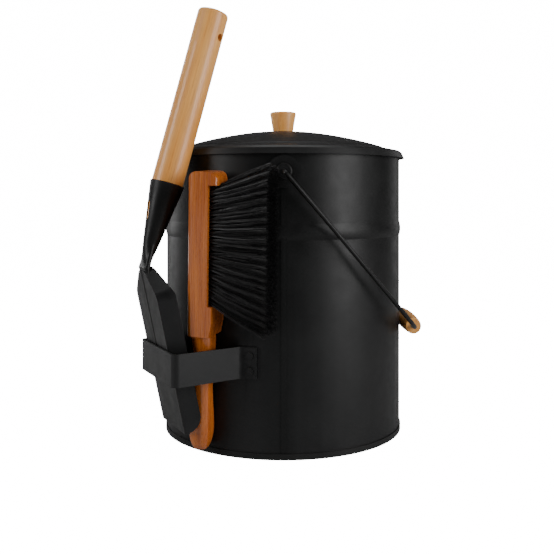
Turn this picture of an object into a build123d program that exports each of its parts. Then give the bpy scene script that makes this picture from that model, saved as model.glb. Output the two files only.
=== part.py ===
from build123d import *
import math
import os

os.makedirs("parts", exist_ok=True)

# An ash bucket with a lid, a swinging bail, and a strap that carries a shovel and a hand brush.
# Millimetres, +Z up. The origin is on the bucket's axis, on the floor.
# The bail's pivots are at the front, -Y, and at the back, +Y. The strap is at the front left.

# Bucket body
body_radius = 130.0
body_height = 303.5
body_wall = 1.2
curl_radius = 2.2
curl_inset = 0.4
bead_drop = 82.5
bead_width = 16.0
bead_bulge = 1.3
seam_width = 6.0
seam_proud = 0.6
seam_margin = 1.0

# Bottom, seamed to the body by a folded hem
base_lift = 7.0
base_wall = 1.2
hem_wall = 1.0
hem_height = 6.0
hem_gap = 0.2

# Lid
lid_seat_gap = 0.3
skirt_overlap = 6.0
skirt_flare = 2.5
skirt_gap = 0.9
lid_wall = 1.3
step_radius = 111.0
step_rise = 5.5
step_run = 3.0
step_drop = 1.6
shoulder_run = 3.0
shoulder_rise = 0.6
dome_rise = 17.5
dome_mid_share = 0.55

# Knob and its screw
knob_top_radius = 15.0
knob_foot_radius = 11.2
knob_height = 22.5
knob_round = 2.0
screw_radius = 2.5
screw_gap = 0.3
screw_depth = 15.0
screw_head_radius = 5.0
screw_head_height = 2.6
washer_radius = 9.0
washer_wall = 1.2
screw_slot_width = 1.2
screw_slot_depth = 1.6

# Ears and bail
pivot_drop = 23.5
ear_radius = 16.0
ear_wall = 2.4
boss_radius = 8.0
boss_stand = 6.0
boss_round = 1.5
ear_seat_gap = 0.05
bail_wire_radius = 2.2
pin_gap = 0.1
bail_half_span = 141.0
bail_reach = 216.0
bail_shoulder_turn = 35.0
bail_end_bend = 4.5
bail_straight_spare = 3.0
pin_length = 10.0
grip_radius = 10.0
grip_end_radius = 8.6
grip_length = 84.0
grip_bore_gap = 0.1
grip_end_round = 1.2
grip_body_gap = 0.4

# Holder strap
strap_corner_x = -102.7
strap_corner_y = -167.0
strap_face_turn = 116.6
strap_face_length = 100.0
strap_leg_turn = 35.0
strap_far_leg_turn = 26.6
strap_wall = 2.0
strap_bend = 5.0
strap_bottom = 78.0
strap_height = 31.0
foot_length = 17.0
foot_gap = 0.1
strap_rivet_radius = 2.0
strap_rivet_head = 3.6
strap_rivet_head_height = 1.4
strap_rivet_gap = 0.1
rivet_low_share = 0.26
rivet_high_share = 0.74

# Shovel
pan_lean = 12.0
pan_tip_height = 27.0
pan_strap_gap = 0.6
pan_centre = 56.0
pan_width = 66.0
pan_length = 160.0
pan_depth = 18.0
pan_draft = 10.0
pan_wall = 1.4
pan_shoulder = 24.0
pan_corner_round = 12.0
pan_nose_round = 15.0
pan_nose_foot = 5.0
pan_back_foot = 4.0
groove_width = 9.0
groove_depth = 0.7
groove_start = 70.0
handle_turn = 27.8
neck_rise = 30.0
neck_radius = 8.0
neck_flat_width = 34.0
neck_pinch_width = 24.0
neck_pinch_height = 6.0
neck_pinch_round = 2.6
neck_pinch_past = 2.0
neck_pinch_rise = 3.6
neck_root_inset = 4.0
neck_overlap = 22.0
socket_length = 62.0
socket_radius = 17.2
socket_wall = 1.2
socket_gap = 0.2
socket_slot_width = 7.0
socket_slot_length = 20.0
socket_slot_inset = 20.0
grip_wood_radius = 15.8
grip_wood_length = 182.0
wood_in_socket = 44.0
wood_end_round = 2.5
hang_hole_radius = 3.8
hang_hole_inset = 26.0
hang_hole_turn = 37.0
socket_pin_radius = 2.0
socket_pin_head_radius = 3.6
socket_pin_head_height = 1.2
socket_pin_length = 12.0
socket_pin_inset = 14.0
socket_pin_gap = 0.05

# Brush
brush_x = -80.0
brush_y = -123.3
brush_turn = -20.0
brush_lean_out = 4.5
brush_lean_side = 1.0
brush_foot_height = 9.0
handle_thickness = 18.0
handle_width = 20.0
handle_foot_width = 21.0
block_bottom = 137.0
block_top = 281.0
block_thickness = 22.0
block_width = 30.0
block_round = 6.0
nose_length = 13.0
nose_rise = 9.0
heel_length = 15.0
heel_rise = 4.5
slice_wall = 1.6
slice_gap = 0.1
bristle_length = 62.0
tuft_rows = 4
tuft_columns = 13
tuft_stagger = 0.25
strands_per_ring = 5
root_span = 102.0
tip_span = 146.0
tip_drop = 3.0
tip_unevenness = 1.4
root_spread = 17.5
tip_spread = 21.0
tuft_root_radius = 1.7
tuft_tip_radius = 3.6
tuft_flatness = 0.8
strand_root_half = 0.45
strand_tip_half = 0.32

# How far a cut runs past the piece that it cuts
over = 20.0


def save(shape, name):
    shape.label = name
    export_step(shape, "parts/" + name + ".step")
    return shape


def rod(start, direction, radius, length):
    """A solid cylinder from a point along a direction."""
    plane = Plane(origin=start, z_dir=direction)
    return plane * Cylinder(radius, length, align=(Align.CENTER, Align.CENTER, Align.MIN))


def spin(points, axis=Axis.Z):
    """A closed outline in the XZ plane, turned about the Z axis."""
    outline = Plane.XZ * make_face(Polyline(*points, close=True))
    return revolve(outline, axis)


# Bucket body: one rolled sheet with a swaged bead, a curled top edge and a lapped seam
inner_radius = body_radius - body_wall
shell_foot = hem_wall + hem_gap
bead_height = body_height - bead_drop
pivot_height = body_height - pivot_drop
bead_low = bead_height - bead_width / 2
bead_high = bead_height + bead_width / 2
bead_peak = body_radius + bead_bulge
curl_centre_radius = body_radius - curl_inset - curl_radius + body_wall
curl_centre_height = body_height - curl_radius
rim_top = body_height


def body_outline():
    outer = [
        Line((inner_radius, shell_foot), (body_radius, shell_foot)),
        Line((body_radius, shell_foot), (body_radius, bead_low)),
        ThreePointArc((body_radius, bead_low), (bead_peak, bead_height), (body_radius, bead_high)),
        Line((body_radius, bead_high), (body_radius, curl_centre_height)),
        Line((body_radius, curl_centre_height), (inner_radius, curl_centre_height)),
        Line((inner_radius, curl_centre_height), (inner_radius, bead_high)),
        ThreePointArc(
            (inner_radius, bead_high),
            (bead_peak - body_wall, bead_height),
            (inner_radius, bead_low),
        ),
        Line((inner_radius, bead_low), (inner_radius, shell_foot)),
    ]
    return make_face(Wire(outer))


def make_body():
    wall = revolve(Plane.XZ * body_outline(), Axis.Z)
    curl = Pos(0, 0, curl_centre_height) * Torus(curl_centre_radius, curl_radius)
    seam_bottom = hem_height + seam_margin
    seam_top = pivot_height - ear_radius - seam_margin
    seam_height = seam_top - seam_bottom
    seam_depth = body_wall + seam_proud + bead_bulge
    seam = Pos(0, -body_radius - seam_proud + seam_depth / 2, seam_bottom + seam_height / 2) * Box(
        seam_width, seam_depth, seam_height
    )
    bore = Pos(0, 0, seam_bottom + seam_height / 2) * Cylinder(
        inner_radius + body_wall / 2, seam_height + over
    )
    body = wall + curl + (seam - bore)
    for place, outward in strap_rivet_places():
        body = body - rod(place - outward * over / 2, outward, rivet_hole_radius, over)
    return body


# Base: a disc whose edge is folded down, out and up round the foot of the body
def make_base():
    skirt_outer = inner_radius - hem_gap
    skirt_inner = skirt_outer - hem_wall
    hem_inner = body_radius + hem_gap
    hem_outer = hem_inner + hem_wall
    return spin(
        [
            (0, base_lift),
            (skirt_inner, base_lift),
            (skirt_inner, 0),
            (hem_outer, 0),
            (hem_outer, hem_height),
            (hem_inner, hem_height),
            (hem_inner, hem_wall),
            (skirt_outer, hem_wall),
            (skirt_outer, base_lift + base_wall),
            (0, base_lift + base_wall),
        ]
    )


# Lid: a stepped dome with a skirt that flares out over the curled rim
lid_under = rim_top + lid_seat_gap
skirt_foot = rim_top - skirt_overlap
skirt_inner_top = curl_centre_radius + curl_radius + skirt_gap
shoulder_radius = skirt_inner_top + lid_wall
skirt_radius = shoulder_radius + skirt_flare
lid_shoulder = lid_under + lid_wall
lid_step_height = lid_shoulder + step_rise
lid_top = lid_step_height + dome_rise


def dome_height(radius):
    """The top of the dome at a distance from the axis: a parabola that ends at the step."""
    return lid_top - dome_rise * (radius / step_radius) ** 2


def make_lid():
    bore = screw_radius + screw_gap
    under_top = lid_top - lid_wall
    dome_mid = step_radius * dome_mid_share
    slope = 2 * dome_rise / step_radius
    step_foot = step_radius + step_run
    step_foot_height = lid_step_height - step_drop
    dome = Spline(
        (knob_foot_radius, lid_top),
        (dome_mid, dome_height(dome_mid)),
        (step_radius, lid_step_height),
        tangents=[(1, 0), (1, -slope)],
    )
    skirt = Polyline(
        (step_radius, lid_step_height),
        (step_foot, step_foot_height),
        (shoulder_radius - shoulder_run, lid_shoulder + shoulder_rise),
        (shoulder_radius, lid_shoulder - step_drop),
        (skirt_radius, skirt_foot),
        (skirt_radius - lid_wall, skirt_foot),
        (skirt_inner_top, lid_under - skirt_gap),
        (skirt_inner_top - step_drop, lid_under),
        (curl_centre_radius - curl_radius, lid_under),
        (step_foot, step_foot_height - lid_wall),
        (step_radius, lid_step_height - lid_wall),
    )
    dome_under = Spline(
        (step_radius, lid_step_height - lid_wall),
        (dome_mid, dome_height(dome_mid) - lid_wall),
        (knob_foot_radius, under_top),
        tangents=[(-1, slope), (-1, 0)],
    )
    middle = Polyline(
        (knob_foot_radius, under_top), (bore, under_top), (bore, lid_top), (knob_foot_radius, lid_top)
    )
    outline = make_face(Wire([*dome.edges(), *skirt.edges(), *dome_under.edges(), *middle.edges()]))
    return revolve(Plane.XZ * outline, Axis.Z)


# Knob: a turned cone, wider at the top, with a blind hole for its screw
def make_knob():
    cone = Pos(0, 0, lid_top) * Cone(
        knob_foot_radius, knob_top_radius, knob_height, align=(Align.CENTER, Align.CENTER, Align.MIN)
    )
    cone = fillet(cone.edges().sort_by(Axis.Z)[-1], knob_round)
    hole = rod((0, 0, lid_top), (0, 0, 1), screw_radius + screw_gap / 3, screw_depth + 1)
    return cone - hole


def make_knob_washer():
    top = lid_top - lid_wall
    disc = rod((0, 0, top - washer_wall), (0, 0, 1), washer_radius, washer_wall)
    hole = rod((0, 0, top - over / 2), (0, 0, 1), screw_radius + screw_gap, over)
    return disc - hole


def make_knob_screw():
    head_top = lid_top - lid_wall - washer_wall
    head = rod((0, 0, head_top - screw_head_height), (0, 0, 1), screw_head_radius, screw_head_height)
    head = fillet(head.edges().group_by(Axis.Z)[0], screw_head_height * 0.4)
    slot = Pos(0, 0, head_top - screw_head_height) * Box(
        2 * screw_head_radius, screw_slot_width, screw_slot_depth
    )
    shank_length = lid_wall + washer_wall + screw_depth
    shank = rod((0, 0, head_top), (0, 0, 1), screw_radius, shank_length)
    return head + shank - slot


# Ears: a round plate with a raised boss, seated on the body at the front and at the back
pin_hole_radius = bail_wire_radius + pin_gap


def make_ear(side):
    """side is -1 at the front and 1 at the back."""
    root = ear_wall
    start = (0, side * (body_radius - root), pivot_height)
    outward = (0, side, 0)
    ear = rod(start, outward, ear_radius, root + ear_wall)
    ear = ear + rod(start, outward, boss_radius, root + boss_stand)
    boss_rim = ear.edges().filter_by(GeomType.CIRCLE).sort_by(Axis.Y)[-1 if side > 0 else 0]
    ear = fillet(boss_rim, boss_round)
    hole = rod(start, outward, pin_hole_radius, root + boss_stand + over)
    seat = Pos(0, 0, pivot_height) * Cylinder(body_radius + ear_seat_gap, 4 * ear_radius)
    return ear - hole - seat


# Bail: a bent wire. Its plane holds the pivot axis, and at rest the grip lies against the body.
grip_centre_x = body_radius + grip_body_gap + grip_radius
bail_drop = math.sqrt(bail_reach**2 - grip_centre_x**2)
bail_along = Vector(grip_centre_x / bail_reach, 0, -bail_drop / bail_reach)
grip_centre = Vector(0, 0, pivot_height) + bail_along * bail_reach
straight_half = grip_length / 2 + bail_straight_spare


def bail_point(across, along):
    """A point in the bail's plane: across is along Y, along runs from the pivot axis to the grip."""
    return Vector(0, across, pivot_height) + bail_along * along


def bail_side(side):
    """The wire of one side, from its pin to the start of the straight length under the grip."""
    turn = math.radians(bail_shoulder_turn)
    inward = bail_half_span - straight_half
    forward = bail_reach - bail_end_bend
    # Two arcs in tangent, of radius long_arc and then short_arc, span inward and forward.
    rest_turn = 1 - math.sin(turn)
    long_arc = (forward - inward * rest_turn / math.cos(turn)) / (
        math.sin(turn) - (1 - math.cos(turn)) * rest_turn / math.cos(turn)
    )
    short_arc = (inward - long_arc * (1 - math.cos(turn))) / math.cos(turn)

    def on_long(angle):
        across = bail_half_span - long_arc * (1 - math.cos(angle))
        return bail_point(side * across, bail_end_bend + long_arc * math.sin(angle))

    def on_short(angle):
        join_across = bail_half_span - long_arc * (1 - math.cos(turn))
        join_along = bail_end_bend + long_arc * math.sin(turn)
        across = join_across - short_arc * (math.cos(turn) - math.cos(angle))
        along = join_along + short_arc * (math.sin(angle) - math.sin(turn))
        return bail_point(side * across, along)

    quarter = math.pi / 2
    bend_mid = bail_end_bend * (1 - math.sqrt(0.5))
    pin_end = bail_point(side * (bail_half_span - pin_length), 0)
    bend_start = bail_point(side * (bail_half_span - bail_end_bend), 0)
    bend_middle = bail_point(side * (bail_half_span - bend_mid), bend_mid)
    bend_end = bail_point(side * bail_half_span, bail_end_bend)
    return [
        Line(pin_end, bend_start),
        ThreePointArc(bend_start, bend_middle, bend_end),
        ThreePointArc(bend_end, on_long(turn / 2), on_long(turn)),
        ThreePointArc(on_long(turn), on_short((turn + quarter) / 2), on_short(quarter)),
    ]


def make_bail():
    near = bail_side(-1)
    far = bail_side(1)
    straight = Line(bail_point(-straight_half, bail_reach), bail_point(straight_half, bail_reach))
    path = Wire(near + [straight] + far)
    start = bail_point(-(bail_half_span - pin_length), 0)
    section = Plane(origin=start, z_dir=(0, -1, 0)) * Circle(bail_wire_radius)
    return sweep(section, path=path)


def make_grip():
    half = grip_length / 2
    bore = bail_wire_radius + grip_bore_gap
    face = grip_end_radius - grip_end_round
    shoulder = half - grip_end_round
    knee = grip_end_round * (1 - math.sqrt(0.5))
    profile = [
        Line((bore, -half), (face, -half)),
        ThreePointArc(
            (face, -half), (grip_end_radius - knee, -half + knee), (grip_end_radius, -shoulder)
        ),
        ThreePointArc((grip_end_radius, -shoulder), (grip_radius, 0), (grip_end_radius, shoulder)),
        ThreePointArc((grip_end_radius, shoulder), (grip_end_radius - knee, half - knee), (face, half)),
        Line((face, half), (bore, half)),
        Line((bore, half), (bore, -half)),
    ]
    turned = revolve(Plane.XZ * make_face(Wire(profile)), Axis.Z)
    return Plane(origin=grip_centre, z_dir=(0, 1, 0)) * turned


# Holder strap: a flat bar bent round the shovel and the brush, with a riveted foot at each end
def unit(turn):
    return Vector(math.cos(math.radians(turn)), math.sin(math.radians(turn)), 0)


strap_corner = Vector(strap_corner_x, strap_corner_y, 0)
face_way = unit(strap_face_turn)
inward_way = unit(strap_face_turn - 90)
near_leg_way = unit(strap_leg_turn)
far_leg_way = unit(strap_far_leg_turn)
foot_radius = body_radius + strap_wall / 2 + foot_gap
strap_top = strap_bottom + strap_height


def reach_circle(start, way, radius):
    """The point where a line from start along way first meets a circle about the bucket's axis."""
    along = -(start.X * way.X + start.Y * way.Y)
    off = start.X**2 + start.Y**2 - along**2
    return start + way * (along - math.sqrt(radius**2 - off))


middle_corner = strap_corner + (inward_way + near_leg_way.rotate(Axis.Z, 90)) * (strap_wall / 2)
middle_far_corner = middle_corner + face_way * (strap_face_length - strap_wall)
near_foot_start = reach_circle(middle_corner, near_leg_way, foot_radius)
far_foot_start = reach_circle(middle_far_corner, far_leg_way, foot_radius)


def foot_way(start, side):
    """The tangent of the body at a foot: side is 1 for the near foot and -1 for the far one."""
    return Vector(-start.Y, start.X, 0).normalized() * side


near_foot_way = foot_way(near_foot_start, 1)
far_foot_way = foot_way(far_foot_start, -1)
near_foot_end = near_foot_start + near_foot_way * foot_length
far_foot_end = far_foot_start + far_foot_way * foot_length


rivet_along = foot_length * 0.6
rivet_tail_reach = math.sqrt(inner_radius**2 - (rivet_along + strap_rivet_head) ** 2)
rivet_tail_seat = foot_radius - rivet_tail_reach + strap_rivet_gap
rivet_hole_radius = strap_rivet_radius + strap_rivet_gap


def strap_rivet_places():
    """Centre of each rivet on the foot, and the outward way there."""
    places = []
    for start, way in ((near_foot_start, near_foot_way), (far_foot_start, far_foot_way)):
        centre = start + way * rivet_along
        outward = start.normalized()
        for share in (rivet_low_share, rivet_high_share):
            places.append((centre + Vector(0, 0, strap_bottom + strap_height * share), outward))
    return places


def make_strap():
    mid_height = strap_bottom + strap_height / 2
    lift = Vector(0, 0, mid_height)
    points = [near_foot_end, near_foot_start, middle_corner, middle_far_corner, far_foot_start]
    points = [point + lift for point in points + [far_foot_end]]
    path = FilletPolyline(*points, radius=strap_bend)
    section = Plane(origin=points[0], x_dir=(0, 0, 1), z_dir=near_foot_way * -1) * Rectangle(
        strap_height, strap_wall
    )
    bar = sweep(section, path=path)
    bucket = Pos(0, 0, mid_height) * Cylinder(body_radius + foot_gap / 2, 2 * strap_height)
    bar = bar - bucket
    for place, outward in strap_rivet_places():
        bar = bar - rod(place - outward * over / 2, outward, rivet_hole_radius, over)
    return bar


def make_strap_rivets():
    rivets = []
    for place, outward in strap_rivet_places():
        seat = place + outward * (strap_wall / 2)
        tail_foot = place - outward * (rivet_tail_seat + strap_rivet_head_height)
        shank_length = strap_wall / 2 + rivet_tail_seat + strap_rivet_head_height
        shank = rod(tail_foot, outward, strap_rivet_radius, shank_length)
        tail = rod(tail_foot, outward, strap_rivet_head, strap_rivet_head_height)
        head = rod(seat, outward, strap_rivet_head, strap_rivet_head_height)
        rivets.append(shank + tail + head)
    return Compound(children=rivets)


# Shovel: x across the pan, y up the pan from its tip, z from its underside to its open side
lean = math.radians(pan_lean)
pan_normal = inward_way * math.cos(lean) + Vector(0, 0, math.sin(lean))
strap_face_inner = strap_wall + pan_strap_gap
tip_inset = strap_face_inner + (strap_top - pan_tip_height) * math.tan(lean)
pan_tip = strap_corner + face_way * pan_centre + inward_way * tip_inset + Vector(0, 0, pan_tip_height)
shovel_plane = Plane(origin=pan_tip, x_dir=face_way, z_dir=pan_normal)
turn_up = math.radians(handle_turn)
handle_way = Vector(0, math.cos(turn_up), math.sin(turn_up))
neck_root = Vector(0, pan_length - neck_root_inset, pan_wall / 2)


def socket_point(distance):
    """A point on the handle's axis, in the shovel's own frame, from where it leaves the pan."""
    return neck_root + handle_way * distance


neck_end = neck_rise


def pan_outline(inset):
    half = pan_width / 2 - inset
    top = pan_length - inset
    outline = make_face(
        Polyline(
            (-half, 0),
            (half, 0),
            (half, top - pan_shoulder),
            (half - pan_shoulder, top),
            (-half + pan_shoulder, top),
            (-half, top - pan_shoulder),
            close=True,
        )
    )
    shoulders = outline.vertices().group_by(Axis.Y)[1:]
    rounded = []
    for group in shoulders:
        rounded += list(group)
    return fillet(rounded, pan_corner_round - inset)


def make_pan_scoop():
    outer = extrude(pan_outline(0), amount=pan_depth, taper=-pan_draft)
    inner_face = Pos(0, -4 * pan_wall, pan_wall) * pan_outline(pan_wall)
    inner = extrude(inner_face, amount=pan_depth + pan_wall, taper=-pan_draft)
    mouth = Pos(0, -2 * pan_wall, pan_wall + pan_depth / 2 + pan_wall) * Box(
        pan_width - 2 * pan_wall, 8 * pan_wall, pan_depth + 2 * pan_wall
    )
    back_cut = make_face(
        Polyline(
            (pan_length - pan_shoulder - pan_back_foot, pan_depth + 1),
            (pan_length + over, pan_depth + 1),
            (pan_length + over, pan_back_foot),
            close=True,
        )
    )
    nose_block = make_face(
        Polyline(
            (-over, pan_nose_foot),
            (pan_nose_round, pan_nose_foot),
            (pan_nose_round, pan_depth + over),
            (-over, pan_depth + over),
            close=True,
        )
    )
    nose_cut = nose_block - Pos(pan_nose_round, pan_depth - pan_nose_round) * Circle(pan_nose_round)
    scoop = outer - inner - mouth
    for cut in (back_cut, nose_cut):
        scoop = scoop - extrude(Plane.YZ * cut, amount=pan_width, both=True)
    length = pan_length - groove_start
    groove = Pos(0, groove_start + length / 2, groove_depth - groove_width / 2) * Cylinder(
        groove_width / 2, length, rotation=(90, 0, 0)
    )
    return scoop - groove


handle_plane = Plane(origin=socket_point(neck_end), x_dir=(1, 0, 0), z_dir=handle_way)
handle_place = shovel_plane.location * handle_plane.location
pin_place = socket_length - socket_pin_inset


def make_socket():
    """The pinched neck and the rolled cone that takes the wood, with an open slot at its back."""
    flat_place = Vector(0, pan_length - neck_overlap, pan_wall)
    pinch_place = Vector(0, pan_length + neck_pinch_past, neck_pinch_rise)
    pinch_way = (0, math.cos(turn_up / 2), math.sin(turn_up / 2))
    neck_flat = Plane(origin=flat_place, x_dir=(1, 0, 0), z_dir=(0, 1, 0)) * Rectangle(
        neck_flat_width, pan_wall
    )
    neck_pinch = Plane(origin=pinch_place, x_dir=(1, 0, 0), z_dir=pinch_way) * RectangleRounded(
        neck_pinch_width, neck_pinch_height, neck_pinch_round
    )
    neck_circle = handle_plane * Circle(neck_radius)
    cone = handle_plane * Cone(
        neck_radius, socket_radius, socket_length, align=(Align.CENTER, Align.CENTER, Align.MIN)
    )
    start = socket_length - wood_in_socket - 1.0
    end = socket_length + over
    hollow = spin(
        [
            (0, start),
            (cone_radius(start) - socket_wall, start),
            (cone_radius(end) - socket_wall, end),
            (0, end),
        ]
    )
    slot_middle = socket_length - socket_slot_inset - socket_slot_length / 2
    straight = socket_slot_length - socket_slot_width
    slot = Pos(0, socket_radius, slot_middle) * Box(socket_slot_width, 2 * socket_radius, straight)
    for end_place in (slot_middle - straight / 2, slot_middle + straight / 2):
        slot = slot + Pos(0, socket_radius, end_place) * Cylinder(
            socket_slot_width / 2, 2 * socket_radius, rotation=(90, 0, 0)
        )
    pin_hole = Pos(socket_radius, 0, pin_place) * Cylinder(
        socket_pin_radius + socket_gap, 2 * socket_radius, rotation=(0, 90, 0)
    )
    tube = loft([neck_flat, neck_pinch]) + loft([neck_pinch, neck_circle]) + cone
    return tube - handle_plane.location * (hollow + slot + pin_hole)


def cone_radius(distance):
    """The socket's outer radius at a distance from the neck's end."""
    return neck_radius + (socket_radius - neck_radius) * distance / socket_length


def wood_outline():
    """Half the handle's outline: distance from the axis, then place along it from the neck's end."""
    start = socket_length - wood_in_socket
    cone_gap = socket_wall + socket_gap
    foot_radius_here = cone_radius(start) - cone_gap
    mouth_radius = socket_radius - cone_gap
    end = socket_length + grip_wood_length
    return [
        (0, start),
        (foot_radius_here, start),
        (mouth_radius, socket_length),
        (grip_wood_radius, socket_length + 1.0),
        (grip_wood_radius, end - wood_end_round),
        (grip_wood_radius - 0.7, end - 0.7),
        (grip_wood_radius - wood_end_round, end),
        (0, end),
    ]


pin_seat = cone_radius(pin_place + socket_pin_head_radius)


def make_shovel_handle():
    wood = spin(wood_outline())
    end = socket_length + grip_wood_length
    hang_hole = Pos(0, 0, end - hang_hole_inset) * Rot(0, 0, hang_hole_turn) * (
        Rot(0, 90, 0) * Cylinder(hang_hole_radius, 4 * grip_wood_radius)
    )
    pilot = Pos(pin_seat, 0, pin_place) * Cylinder(
        socket_pin_radius + socket_pin_gap, 2 * socket_pin_length + 1, rotation=(0, 90, 0)
    )
    return handle_place * (wood - hang_hole - pilot)


def make_socket_pin():
    """A round-headed pin through the socket's wall into the wood, on the side away from the strap."""
    shank = Pos(pin_seat - socket_pin_length / 2, 0, pin_place) * Cylinder(
        socket_pin_radius, socket_pin_length, rotation=(0, 90, 0)
    )
    head = Pos(pin_seat + socket_pin_head_height / 2, 0, pin_place) * Cylinder(
        socket_pin_head_radius, socket_pin_head_height, rotation=(0, 90, 0)
    )
    return handle_place * (shank + head)


def make_shovel():
    return shovel_plane.location * (make_pan_scoop() + make_socket())


# Brush: x the way the bristles point, y across the block, z up its length from the floor
brush_axis = Vector(
    math.sin(math.radians(brush_lean_side)), -math.sin(math.radians(brush_lean_out)), 1
).normalized()
strap_middle = strap_bottom + strap_height / 2
brush_origin = Vector(brush_x, brush_y, strap_middle) - brush_axis * strap_middle
bristle_way = unit(brush_turn) - brush_axis * unit(brush_turn).dot(brush_axis)
brush_plane = Plane(origin=brush_origin, x_dir=bristle_way, z_dir=brush_axis)
bristle_face = block_thickness / 2
root_middle = (block_bottom + heel_length + block_top - nose_length) / 2
slice_height = block_top - nose_length - block_bottom - heel_length
slice_width = block_width - 8.0


def make_block_blank():
    back = -block_thickness / 2
    side = make_face(
        Polyline(
            (back, block_bottom - heel_length),
            (back, block_top),
            (bristle_face + nose_rise, block_top),
            (bristle_face + nose_rise, block_top - nose_length),
            (bristle_face, block_top - nose_length),
            (bristle_face, block_bottom + heel_length),
            (bristle_face + heel_rise, block_bottom + heel_length),
            (bristle_face + heel_rise, block_bottom - 2.0),
            (bristle_face + 2.0, block_bottom - heel_length),
            close=True,
        )
    )
    corners = side.vertices().group_by(Axis.Y)[-1]
    side = fillet(corners, nose_length * 0.8)
    slab = extrude(Plane.XZ * side, amount=block_width / 2, both=True)
    middle = (back + bristle_face + nose_rise) / 2
    thick = block_thickness + nose_rise
    plan = Pos(middle, 0, 0) * RectangleRounded(thick, block_width, block_round)
    return slab & extrude(plan, amount=block_top + 10)


def make_brush_handle():
    shift = 2.0
    sections = [
        (block_bottom - heel_length + 6.0, 0.0, block_thickness, block_width - 4.0),
        (block_bottom - heel_length - 10.0, shift, handle_thickness + 2.0, handle_width + 3.0),
        (strap_middle, shift, handle_thickness, handle_width),
        (strap_bottom - 22.0, shift * 0.5, handle_thickness, handle_width),
        (brush_foot_height + 8.0, 0.0, handle_thickness + 1.0, handle_foot_width),
        (brush_foot_height, 0.0, handle_thickness - 5.0, handle_foot_width - 7.0),
    ]
    faces = []
    for height, across, thick, wide in sections:
        faces.append(Pos(across, 0, height) * RectangleRounded(thick, wide, thick * 0.36))
    return loft(faces)


def make_brush_block():
    pocket = Pos(bristle_face, 0, root_middle) * Box(
        2 * slice_wall, slice_width + 2 * slice_gap, slice_height + 2 * slice_gap
    )
    return brush_plane.location * (make_block_blank() + make_brush_handle() - pocket)


def strand(root, tip):
    """One bristle: a four-sided spike from a root to a tip, in the brush's own frame."""

    def ring(centre, half):
        return [
            Vector(centre.X, centre.Y + across * half, centre.Z + up * half)
            for across, up in ((-1, -1), (1, -1), (1, 1), (-1, 1))
        ]

    low = ring(root, strand_root_half)
    high = ring(tip, strand_tip_half)
    sides = [
        Face(Wire.make_polygon([low[i], low[(i + 1) % 4], high[(i + 1) % 4], high[i]]))
        for i in range(4)
    ]
    ends = [Face(Wire.make_polygon(low)), Face(Wire.make_polygon(high))]
    return Solid(Shell(sides + ends))


def make_bristles():
    """Tufts in rows, each a fan of strands. Every strand runs straight from root to tip, and the
    tips keep the order of the roots, wider apart, so that no two cross."""
    strands = []
    for row in range(tuft_rows):
        row_share = row / (tuft_rows - 1) - 0.5
        for column in range(tuft_columns):
            column_share = (column + tuft_stagger * (row % 2)) / (tuft_columns - 1 + tuft_stagger) - 0.5
            for ring_place in range(strands_per_ring + 1):
                turn = 2 * math.pi * ring_place / strands_per_ring + row
                out = 0.0 if ring_place == strands_per_ring else 1.0
                root = Vector(
                    bristle_face - slice_wall / 2,
                    row_share * root_spread + out * tuft_root_radius * math.cos(turn),
                    root_middle + column_share * root_span + out * tuft_root_radius * math.sin(turn),
                )
                shortness = ((row * 5 + column * 3 + ring_place * 2) % 4) / 3
                reach = bristle_length - tip_unevenness * shortness
                tip = Vector(
                    bristle_face + reach,
                    row_share * tip_spread + out * tuft_tip_radius * tuft_flatness * math.cos(turn),
                    root_middle
                    - tip_drop
                    + column_share * tip_span
                    + out * tuft_tip_radius * math.sin(turn),
                )
                strands.append(strand(root, tip))
    backing = Pos(bristle_face - slice_wall / 2, 0, root_middle) * Box(
        slice_wall, slice_width, slice_height
    )
    return brush_plane.location * backing.fuse(*strands)


save(make_body(), "bucket_body")
save(make_base(), "bucket_base")
save(make_lid(), "lid")
save(make_knob(), "lid_knob")
save(make_knob_washer(), "knob_washer")
save(make_knob_screw(), "knob_screw")
save(make_ear(-1), "front_ear")
save(make_ear(1), "rear_ear")
save(make_bail(), "bail_wire")
save(make_grip(), "bail_grip")
save(make_strap(), "holder_strap")
save(make_strap_rivets(), "strap_rivets")
save(make_shovel(), "shovel_pan")
save(make_shovel_handle(), "shovel_handle")
save(make_socket_pin(), "socket_pin")
save(make_brush_block(), "brush_block")
save(make_bristles(), "brush_bristles")
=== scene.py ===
import math
import random

import bpy
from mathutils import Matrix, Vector


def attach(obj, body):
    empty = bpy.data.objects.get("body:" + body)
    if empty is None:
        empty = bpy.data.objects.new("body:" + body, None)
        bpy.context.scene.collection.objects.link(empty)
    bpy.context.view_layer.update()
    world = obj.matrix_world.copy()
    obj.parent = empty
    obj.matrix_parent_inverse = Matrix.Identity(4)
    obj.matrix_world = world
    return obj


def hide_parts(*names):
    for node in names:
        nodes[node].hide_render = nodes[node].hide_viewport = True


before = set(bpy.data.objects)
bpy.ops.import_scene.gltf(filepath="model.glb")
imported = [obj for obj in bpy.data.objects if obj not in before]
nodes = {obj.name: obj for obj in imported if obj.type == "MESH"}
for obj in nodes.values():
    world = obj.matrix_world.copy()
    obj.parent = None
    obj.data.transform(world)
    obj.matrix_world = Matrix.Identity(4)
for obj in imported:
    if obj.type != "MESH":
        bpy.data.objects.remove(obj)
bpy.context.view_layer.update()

# Driving values in metres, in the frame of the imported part

# Camera: level, with a shift in place of a tilt, so that upright edges stay parallel
CAMERA_PLACE = (-0.0068, -0.904, 0.256)
CAMERA_LENS = 51.9
CAMERA_SENSOR = 36.0
CAMERA_SHIFT_Y = -0.146

# Ways of the grain
UP = (0.0, 0.0, 1.0)
BACK = (0.0, 1.0, 0.0)
HANDLE_WAY = (0.2435, 0.1219, 0.9622)
BRUSH_WAY = (0.0174, -0.0782, 0.9968)

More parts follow.
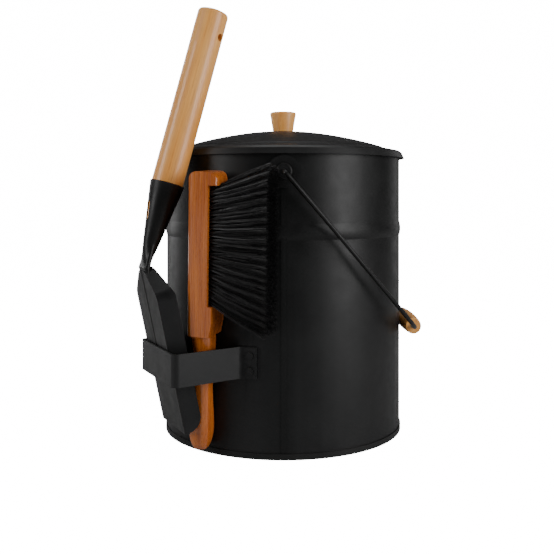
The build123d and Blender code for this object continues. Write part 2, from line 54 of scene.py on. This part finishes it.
# Brush: the bristles leave the block across its length, and fan out a little
BRUSH_TURN = math.radians(-20.0)
BRUSH_AT = Vector((-0.0800, -0.1233, 0.0935))
BRUSH_AT_HEIGHT = 0.0935
FACE_OUT = 0.0110
ROOT_MIDDLE = 0.2100
ROOT_HALF_SPAN = 0.0530
TIP_HALF_SPAN = 0.0765
TIP_DROP = 0.0025
ROOT_HALF_SPREAD = 0.0092
TIP_HALF_SPREAD = 0.0125
BRISTLE_LENGTH = 0.0615
TUFT_ROWS = 5
TUFT_COLUMNS = 17
HAIRS_PER_TUFT = 120
TUFT_ROOT_RADIUS = 0.0019
TUFT_TIP_RADIUS = 0.0052
HAIR_ROOT_RADIUS = 0.00023
HAIR_TIP_RADIUS = 0.00014
HAIR_STEPS = 3
HAIR_SEED = 11
HAIR_SUNK = 0.001
HAIR_SHORTER = 0.0022
TUFT_CROWN = 0.001
TUFT_LEAN = 0.0022
HAIR_BOW = 0.0019

# Coats, plain and with painted highlights on sharp edges, and the coat's sheen
PAINTED_EDGE_HIGHLIGHT = (0.03, 0.03, 0.031, 1.0)
COAT_SPECULAR = 0.24

# Stage: a floor that curves up behind, white to the camera and dim to the object
SWEEP_HALF_WIDTH = 4.0
SWEEP_FRONT = -3.0
SWEEP_BACK = 2.2
SWEEP_BEND = 1.2
SWEEP_TOP = 4.5
SWEEP_STEPS = 16
SEEN_WHITE = 16.0
ROOM_GLOW = 0.06

# Lights: name, place, width, height and power, all aimed at the middle of the body
LIGHT_TARGET = (0.0, 0.0, 0.18)
LIGHTS = (
    ("key_right", (1.35, -0.88, 0.55), 0.8, 1.5, 27.0),
    ("fill_left", (-1.6, -0.75, 0.8), 0.6, 1.1, 17.0),
    ("top", (0.0, 0.1, 1.9), 1.4, 1.4, 14.0),
    ("rim_right", (1.2, 1.3, 0.5), 0.3, 1.4, 1.5),
    ("rim_left", (-1.3, 1.1, 0.6), 0.3, 1.4, 5.0),
)


# Materials

class Shader:
    """Shorthand for one material's nodes: add a node, link sockets, reach the surface."""

    def __init__(self, name):
        self.material = bpy.data.materials.new(name)
        self.material.use_nodes = True
        self.tree = self.material.node_tree
        self.surface = self.tree.nodes["Principled BSDF"]
        self.place = self.add("ShaderNodeTexCoord").outputs["Object"]

    def add(self, kind, **values):
        node = self.tree.nodes.new(kind)
        for name, value in values.items():
            setattr(node, name, value)
        return node

    def link(self, source, target):
        self.tree.links.new(source, target)

    def noise(self, scale, detail=3.0, vector=None):
        node = self.add("ShaderNodeTexNoise")
        node.inputs["Scale"].default_value = scale
        node.inputs["Detail"].default_value = detail
        self.link(vector or self.place, node.inputs["Vector"])
        return node.outputs["Fac"]

    def ramp(self, factor, low, high, low_colour, high_colour):
        node = self.add("ShaderNodeValToRGB")
        first, last = node.color_ramp.elements
        first.position = low
        first.color = (*low_colour, 1.0)
        last.position = high
        last.color = (*high_colour, 1.0)
        self.link(factor, node.inputs["Fac"])
        return node.outputs["Color"]

    def spread(self, factor, low, high):
        """Maps a noise's middle range onto low to high."""
        node = self.add("ShaderNodeMapRange")
        node.inputs["From Min"].default_value = 0.3
        node.inputs["From Max"].default_value = 0.7
        node.inputs["To Min"].default_value = low
        node.inputs["To Max"].default_value = high
        self.link(factor, node.inputs["Value"])
        return node.outputs["Result"]

    def mix(self, factor, first, second, blend="MIX"):
        node = self.add("ShaderNodeMix")
        node.data_type = "RGBA"
        node.blend_type = blend
        if isinstance(factor, float):
            node.inputs[0].default_value = factor
        else:
            self.link(factor, node.inputs[0])
        self.link(first, node.inputs[6])
        self.link(second, node.inputs[7])
        return node.outputs[2]

    def bump(self, height, distance, strength=1.0, normal=None):
        node = self.add("ShaderNodeBump")
        node.inputs["Strength"].default_value = strength
        node.inputs["Distance"].default_value = distance
        self.link(height, node.inputs["Height"])
        if normal is not None:
            self.link(normal, node.inputs["Normal"])
        return node.outputs["Normal"]

    def along(self, way, across_scale, along_scale):
        """The place stretched along a way, for grain: slow along it and fast across it."""
        dot = self.add("ShaderNodeVectorMath", operation="DOT_PRODUCT")
        dot.inputs[1].default_value = way
        self.link(self.place, dot.inputs[0])
        part = self.add("ShaderNodeVectorMath", operation="SCALE")
        part.inputs[0].default_value = [value * (along_scale - across_scale) for value in way]
        self.link(dot.outputs["Value"], part.inputs["Scale"])
        whole = self.add("ShaderNodeVectorMath", operation="SCALE")
        whole.inputs["Scale"].default_value = across_scale
        self.link(self.place, whole.inputs[0])
        total = self.add("ShaderNodeVectorMath", operation="ADD")
        self.link(whole.outputs["Vector"], total.inputs[0])
        self.link(part.outputs["Vector"], total.inputs[1])
        return total.outputs["Vector"]


def coated_steel(name, dark, light, low_rough, high_rough, grain_height):
    """Powder coat: near black, with fine orange peel, faint clouding and painted highlights on
    sharp edges.
    """
    shade = Shader(name)
    cloud = shade.noise(28.0, 4.0)
    colour = shade.ramp(cloud, 0.35, 0.7, dark, light)
    # Painted highlight: sharp convex edges are mixed towards a paler black, standing in for light
    # caught on rounded edges
    edges = shade.add("ShaderNodeNewGeometry").outputs["Pointiness"]
    edge_highlight_mask = shade.add("ShaderNodeMapRange")
    edge_highlight_mask.inputs["From Min"].default_value = 0.53
    edge_highlight_mask.inputs["From Max"].default_value = 0.62
    edge_highlight_mask.inputs["To Max"].default_value = 0.35
    shade.link(edges, edge_highlight_mask.inputs["Value"])
    edge_highlight = shade.add("ShaderNodeRGB")
    edge_highlight.outputs[0].default_value = PAINTED_EDGE_HIGHLIGHT
    tone = shade.mix(edge_highlight_mask.outputs["Result"], colour, edge_highlight.outputs[0])
    shade.link(tone, shade.surface.inputs["Base Color"])
    rough = shade.spread(shade.noise(60.0, 5.0), low_rough, high_rough)
    shade.link(rough, shade.surface.inputs["Roughness"])
    peel = shade.bump(shade.noise(420.0, 2.0), grain_height, 0.5)
    grit = shade.bump(shade.noise(1500.0, 2.0), grain_height * 0.4, 0.6, peel)
    shade.link(grit, shade.surface.inputs["Normal"])
    shade.surface.inputs["Specular IOR Level"].default_value = COAT_SPECULAR
    return shade.material


def wood(name, way, pale, mid, dark, low_rough, high_rough, across, lengthwise, coat):
    """Straight-grained wood: growth bands, fine fibres and short pores along one way."""
    shade = Shader(name)
    bands = shade.noise(1.0, 5.0, shade.along(way, across, lengthwise))
    fibres = shade.noise(1.0, 3.0, shade.along(way, across * 7.0, lengthwise * 2.5))
    pores = shade.noise(1.0, 1.0, shade.along(way, across * 14.0, lengthwise * 9.0))
    tone = shade.ramp(bands, 0.34, 0.66, mid, pale)
    fine = shade.ramp(fibres, 0.3, 0.75, (0.78, 0.78, 0.78), (1.0, 1.0, 1.0))
    tone = shade.mix(0.75, tone, fine, "MULTIPLY")
    dark_tone = shade.add("ShaderNodeRGB")
    dark_tone.outputs[0].default_value = (*dark, 1.0)
    pore = shade.add("ShaderNodeMapRange")
    pore.inputs["From Min"].default_value = 0.36
    pore.inputs["From Max"].default_value = 0.27
    pore.inputs["To Max"].default_value = 0.6
    shade.link(pores, pore.inputs["Value"])
    shade.link(
        shade.mix(pore.outputs["Result"], tone, dark_tone.outputs[0]),
        shade.surface.inputs["Base Color"],
    )
    shade.link(shade.spread(fibres, low_rough, high_rough), shade.surface.inputs["Roughness"])
    shade.surface.inputs["Coat Weight"].default_value = coat
    ridges = shade.bump(bands, 0.00025, 0.35)
    shade.link(shade.bump(fibres, 0.00012, 0.4, ridges), shade.surface.inputs["Normal"])
    return shade.material


def zinc(name):
    """Plated steel with faint turning marks and dull patches."""
    shade = Shader(name)
    cloud = shade.noise(300.0, 4.0)
    colour = shade.ramp(cloud, 0.3, 0.7, (0.42, 0.42, 0.41), (0.62, 0.62, 0.6))
    shade.link(colour, shade.surface.inputs["Base Color"])
    shade.surface.inputs["Metallic"].default_value = 1.0
    shade.link(shade.spread(shade.noise(900.0, 3.0), 0.28, 0.5), shade.surface.inputs["Roughness"])
    shade.link(shade.bump(shade.noise(2500.0, 2.0), 0.00004, 0.5), shade.surface.inputs["Normal"])
    return shade.material


def hair(name):
    """Dyed stiff hair: black to brown-black, a little glossy along each strand."""
    shade = Shader(name)
    strands = shade.noise(700.0, 2.0)
    colour = shade.ramp(strands, 0.3, 0.75, (0.0015, 0.0015, 0.0015), (0.007, 0.0066, 0.0066))
    shade.link(colour, shade.surface.inputs["Base Color"])
    shade.link(shade.spread(shade.noise(1400.0, 2.0), 0.32, 0.6), shade.surface.inputs["Roughness"])
    shade.link(shade.bump(strands, 0.00005, 0.4), shade.surface.inputs["Normal"])
    return shade.material


PALE = ((0.97, 0.48, 0.13), (0.84, 0.35, 0.075), (0.42, 0.16, 0.035))
BROWN = ((0.62, 0.17, 0.022), (0.42, 0.095, 0.012), (0.13, 0.026, 0.005))

COAT = coated_steel("black_coat", (0.005, 0.005, 0.005), (0.008, 0.008, 0.008), 0.36, 0.47, 0.00005)
TOOL_COAT = coated_steel(
    "tool_coat", (0.005, 0.005, 0.005), (0.009, 0.009, 0.009), 0.34, 0.46, 0.00004
)
WIRE_COAT = coated_steel(
    "wire_coat", (0.006, 0.006, 0.006), (0.011, 0.011, 0.011), 0.30, 0.42, 0.00003
)
KNOB_WOOD = wood("knob_wood", UP, *PALE, 0.34, 0.5, 260.0, 22.0, 0.25)
GRIP_WOOD = wood("grip_wood", BACK, *PALE, 0.34, 0.5, 260.0, 22.0, 0.25)
HANDLE_WOOD = wood("handle_wood", HANDLE_WAY, *PALE, 0.34, 0.5, 190.0, 9.0, 0.25)
BRUSH_WOOD = wood("brush_wood", BRUSH_WAY, *BROWN, 0.22, 0.36, 190.0, 10.0, 0.6)
ZINC = zinc("zinc")
HAIR = hair("black_hair")

FINISH = {
    "bucket_body": COAT,
    "bucket_base": COAT,
    "lid": COAT,
    "lid_knob": KNOB_WOOD,
    "knob_washer": ZINC,
    "knob_screw": ZINC,
    "front_ear": COAT,
    "rear_ear": COAT,
    "bail_wire": WIRE_COAT,
    "bail_grip": GRIP_WOOD,
    "holder_strap": COAT,
    "strap_rivets": COAT,
    "shovel_pan": TOOL_COAT,
    "shovel_handle": HANDLE_WOOD,
    "socket_pin": TOOL_COAT,
    "brush_block": BRUSH_WOOD,
    "brush_bristles": HAIR,
}


def dress_nodes():
    for name, material in FINISH.items():
        slots = nodes[name].data.materials
        slots.clear()
        slots.append(material)


# Bristles: tufts of fine tapered hairs in place of the plain strands

def brush_frame():
    """Origin, out of the block, across it, and up it."""
    up = Vector(BRUSH_WAY).normalized()
    flat = Vector((math.cos(BRUSH_TURN), math.sin(BRUSH_TURN), 0.0))
    out = flat - up * flat.dot(up)
    out.normalize()
    across = up.cross(out)
    origin = BRUSH_AT - up * BRUSH_AT_HEIGHT
    return origin, out, across, up


def add_hair(verts, faces, path, turn, side, rise):
    """One tapered three-sided hair along a list of points."""
    start = len(verts)
    last = len(path) - 1
    for step, point in enumerate(path):
        radius = HAIR_ROOT_RADIUS + (HAIR_TIP_RADIUS - HAIR_ROOT_RADIUS) * step / last
        for corner in range(3):
            angle = turn + 2.0 * math.pi * corner / 3.0
            verts.append(point + side * radius * math.cos(angle) + rise * radius * math.sin(angle))
    for step in range(last):
        low = start + 3 * step
        for corner in range(3):
            after = (corner + 1) % 3
            faces.append((low + corner, low + after, low + 3 + after, low + 3 + corner))
    end = start + 3 * last
    faces.append((end, end + 1, end + 2))


def make_bristles():
    dice = random.Random(HAIR_SEED)
    origin, out, across, up = brush_frame()
    verts = []
    faces = []
    for row in range(TUFT_ROWS):
        row_share = 2.0 * row / (TUFT_ROWS - 1) - 1.0
        for column in range(TUFT_COLUMNS):
            column_share = 2.0 * (column + 0.5 * (row % 2)) / (TUFT_COLUMNS - 0.5) - 1.0
            tuft_lean = dice.uniform(-TUFT_LEAN, TUFT_LEAN)
            for _ in range(HAIRS_PER_TUFT):
                angle = dice.uniform(0.0, 2.0 * math.pi)
                reach = math.sqrt(dice.random())
                off_across = reach * math.cos(angle)
                off_up = reach * math.sin(angle)
                length = BRISTLE_LENGTH - dice.uniform(0.0, HAIR_SHORTER) - TUFT_CROWN * reach
                root_across = row_share * ROOT_HALF_SPREAD + off_across * TUFT_ROOT_RADIUS
                root_up = ROOT_MIDDLE + column_share * ROOT_HALF_SPAN + off_up * TUFT_ROOT_RADIUS
                tip_across = row_share * TIP_HALF_SPREAD + off_across * TUFT_TIP_RADIUS
                tip_up = (
                    ROOT_MIDDLE
                    - TIP_DROP
                    + column_share * TIP_HALF_SPAN
                    + off_up * TUFT_TIP_RADIUS
                    + tuft_lean
                )
                bow = dice.uniform(-HAIR_BOW, HAIR_BOW)
                path = []
                for step in range(HAIR_STEPS + 1):
                    share = step / HAIR_STEPS
                    sway = bow * math.sin(math.pi * share)
                    path.append(
                        origin
                        + out * (FACE_OUT - HAIR_SUNK + (length + HAIR_SUNK) * share)
                        + across * (root_across + (tip_across - root_across) * share + sway)
                        + up * (root_up + (tip_up - root_up) * share + sway)
                    )
                add_hair(verts, faces, path, angle, across, up)
    mesh = bpy.data.meshes.new("bristle_field")
    mesh.from_pydata(verts, [], faces)
    mesh.materials.append(HAIR)
    piece = bpy.data.objects.new("bristle_field", mesh)
    bpy.context.scene.collection.objects.link(piece)
    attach(piece, "brush")
    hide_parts("brush_bristles")


# Stage, camera and light

def make_stage():
    """A pale sweep: floor in front, curving up behind."""
    profile = [(SWEEP_FRONT, 0.0), (SWEEP_BACK, 0.0)]
    for step in range(1, SWEEP_STEPS + 1):
        angle = math.pi / 2 * step / SWEEP_STEPS
        profile.append(
            (SWEEP_BACK + SWEEP_BEND * math.sin(angle), SWEEP_BEND * (1.0 - math.cos(angle)))
        )
    profile.append((SWEEP_BACK + SWEEP_BEND, SWEEP_TOP))
    verts = []
    faces = []
    for y, z in profile:
        verts += [(-SWEEP_HALF_WIDTH, y, z), (SWEEP_HALF_WIDTH, y, z)]
    for step in range(len(profile) - 1):
        low = 2 * step
        faces.append((low, low + 1, low + 3, low + 2))
    mesh = bpy.data.meshes.new("sweep")
    mesh.from_pydata(verts, [], faces)
    for face in mesh.polygons:
        face.use_smooth = True
    shade = Shader("paper")
    colour = shade.ramp(shade.noise(3.0, 2.0), 0.3, 0.7, (0.50, 0.50, 0.50), (0.54, 0.54, 0.54))
    shade.link(colour, shade.surface.inputs["Base Color"])
    shade.surface.inputs["Roughness"].default_value = 0.9
    shade.surface.inputs["Specular IOR Level"].default_value = 0.1
    shade.surface.inputs["Emission Color"].default_value = (1.0, 1.0, 1.0, 1.0)
    seen = shade.add("ShaderNodeLightPath").outputs["Is Camera Ray"]
    glow = shade.add("ShaderNodeMapRange")
    glow.inputs["To Min"].default_value = 0.0
    glow.inputs["To Max"].default_value = SEEN_WHITE
    shade.link(seen, glow.inputs["Value"])
    shade.link(glow.outputs["Result"], shade.surface.inputs["Emission Strength"])
    mesh.materials.append(shade.material)
    floor = bpy.data.objects.new("sweep", mesh)
    bpy.context.scene.collection.objects.link(floor)


def aim(thing, target):
    way = Vector(target) - thing.location
    thing.rotation_euler = way.to_track_quat("-Z", "Y").to_euler()


def make_camera():
    data = bpy.data.cameras.new("camera")
    data.sensor_width = CAMERA_SENSOR
    data.lens = CAMERA_LENS
    data.shift_y = CAMERA_SHIFT_Y
    camera = bpy.data.objects.new("camera", data)
    camera.location = CAMERA_PLACE
    camera.rotation_euler = (math.pi / 2, 0.0, 0.0)
    bpy.context.scene.collection.objects.link(camera)
    bpy.context.scene.camera = camera


def area_light(name, place, target, width, height, power):
    data = bpy.data.lights.new(name, "AREA")
    data.shape = "RECTANGLE"
    data.size = width
    data.size_y = height
    data.energy = power
    light = bpy.data.objects.new(name, data)
    light.location = place
    aim(light, target)
    bpy.context.scene.collection.objects.link(light)


def make_light():
    for name, place, width, height, power in LIGHTS:
        area_light(name, place, LIGHT_TARGET, width, height, power)
    world = bpy.data.worlds.new("room")
    bpy.context.scene.world = world
    world.use_nodes = True
    back = world.node_tree.nodes["Background"]
    back.inputs["Color"].default_value = (1.0, 1.0, 1.0, 1.0)
    seen = world.node_tree.nodes.new("ShaderNodeLightPath").outputs["Is Camera Ray"]
    strength = world.node_tree.nodes.new("ShaderNodeMapRange")
    strength.inputs["To Min"].default_value = ROOM_GLOW
    strength.inputs["To Max"].default_value = SEEN_WHITE
    world.node_tree.links.new(seen, strength.inputs["Value"])
    world.node_tree.links.new(strength.outputs["Result"], back.inputs["Strength"])


dress_nodes()
make_bristles()
make_stage()
make_camera()
make_light()
